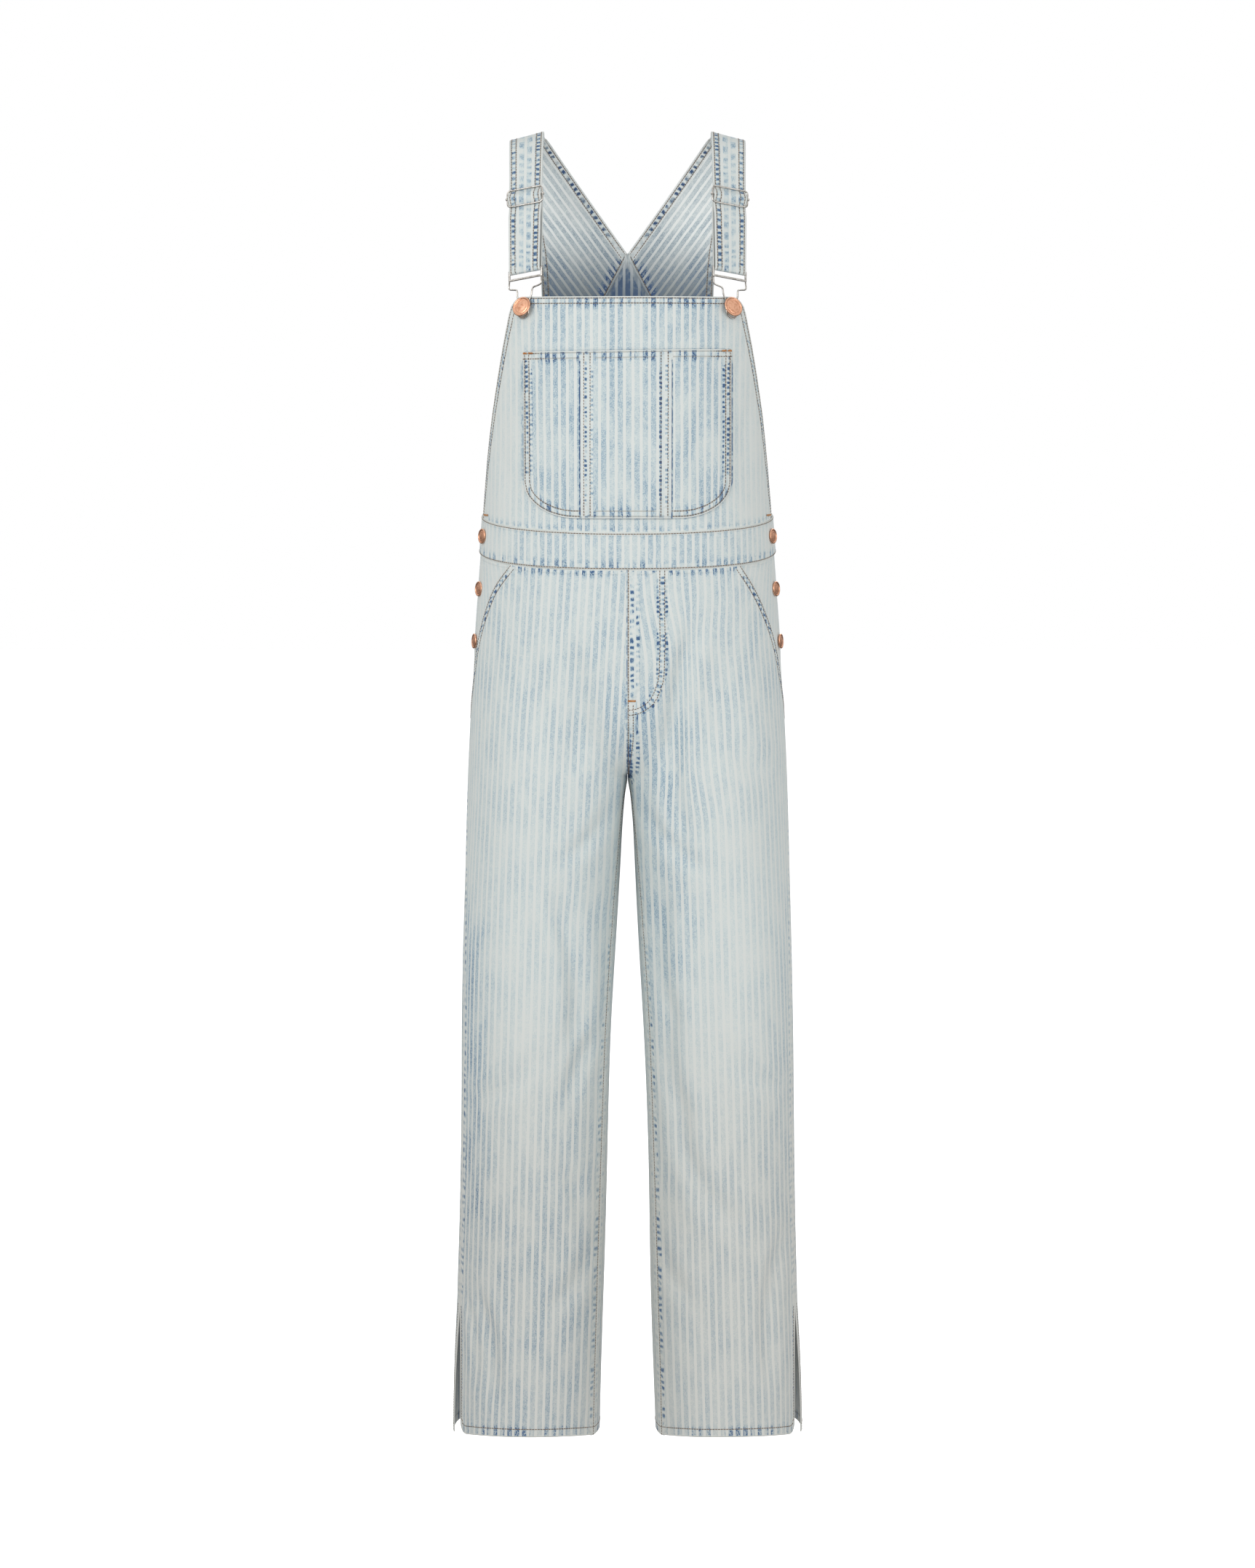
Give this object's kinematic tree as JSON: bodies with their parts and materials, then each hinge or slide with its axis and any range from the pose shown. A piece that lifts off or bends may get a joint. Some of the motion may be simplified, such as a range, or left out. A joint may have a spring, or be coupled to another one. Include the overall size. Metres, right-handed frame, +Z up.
{
  "type": "dungarees",
  "caption": "Bleached stripe denim dungarees in worn form: straight legs slit at the hem, bib with divided pocket, V back, straps with wire sliders, buckles, hooks and plain buttons.",
  "frame": {"origin": "midway between the crests of the two shoulder straps, at shoulder height", "axes": "+X towards the pieces named right, -Y the front of the garment, +Z up along the body"},
  "size_m": [0.399, 0.2476, 1.4584],
  "materials": {
    "bleached_denim": "matte bleached cotton denim with fine lengthwise stripes",
    "nickel_wire": "aged nickel-plated wire and strip",
    "copper_buttons": "satin copper-plated tack buttons, bare"
  },
  "bodies": {
    "root": {"back_bib": "bleached_denim", "back_leg_left": "bleached_denim", "back_leg_right": "bleached_denim", "back_waistband": "bleached_denim", "back_yoke_left": "bleached_denim", "back_yoke_right": "bleached_denim", "bib": "bleached_denim", "bib_button_left": "copper_buttons", "bib_button_right": "copper_buttons", "bib_pocket": "bleached_denim", "buckle_left": "nickel_wire", "buckle_right": "nickel_wire", "button_stand_left": "bleached_denim", "button_stand_right": "bleached_denim", "front_leg_left": "bleached_denim", "front_leg_right": "bleached_denim", "front_waistband": "bleached_denim", "hook_left": "nickel_wire", "hook_right": "nickel_wire", "pocket_facing_left": "bleached_denim", "pocket_facing_right": "bleached_denim", "side_button_left_1": "copper_buttons", "side_button_left_2": "copper_buttons", "side_button_left_3": "copper_buttons", "side_button_right_1": "copper_buttons", "side_button_right_2": "copper_buttons", "side_button_right_3": "copper_buttons", "slider_left": "nickel_wire", "slider_right": "nickel_wire", "strap_left": "bleached_denim", "strap_right": "bleached_denim"}
  },
  "joints": []
}
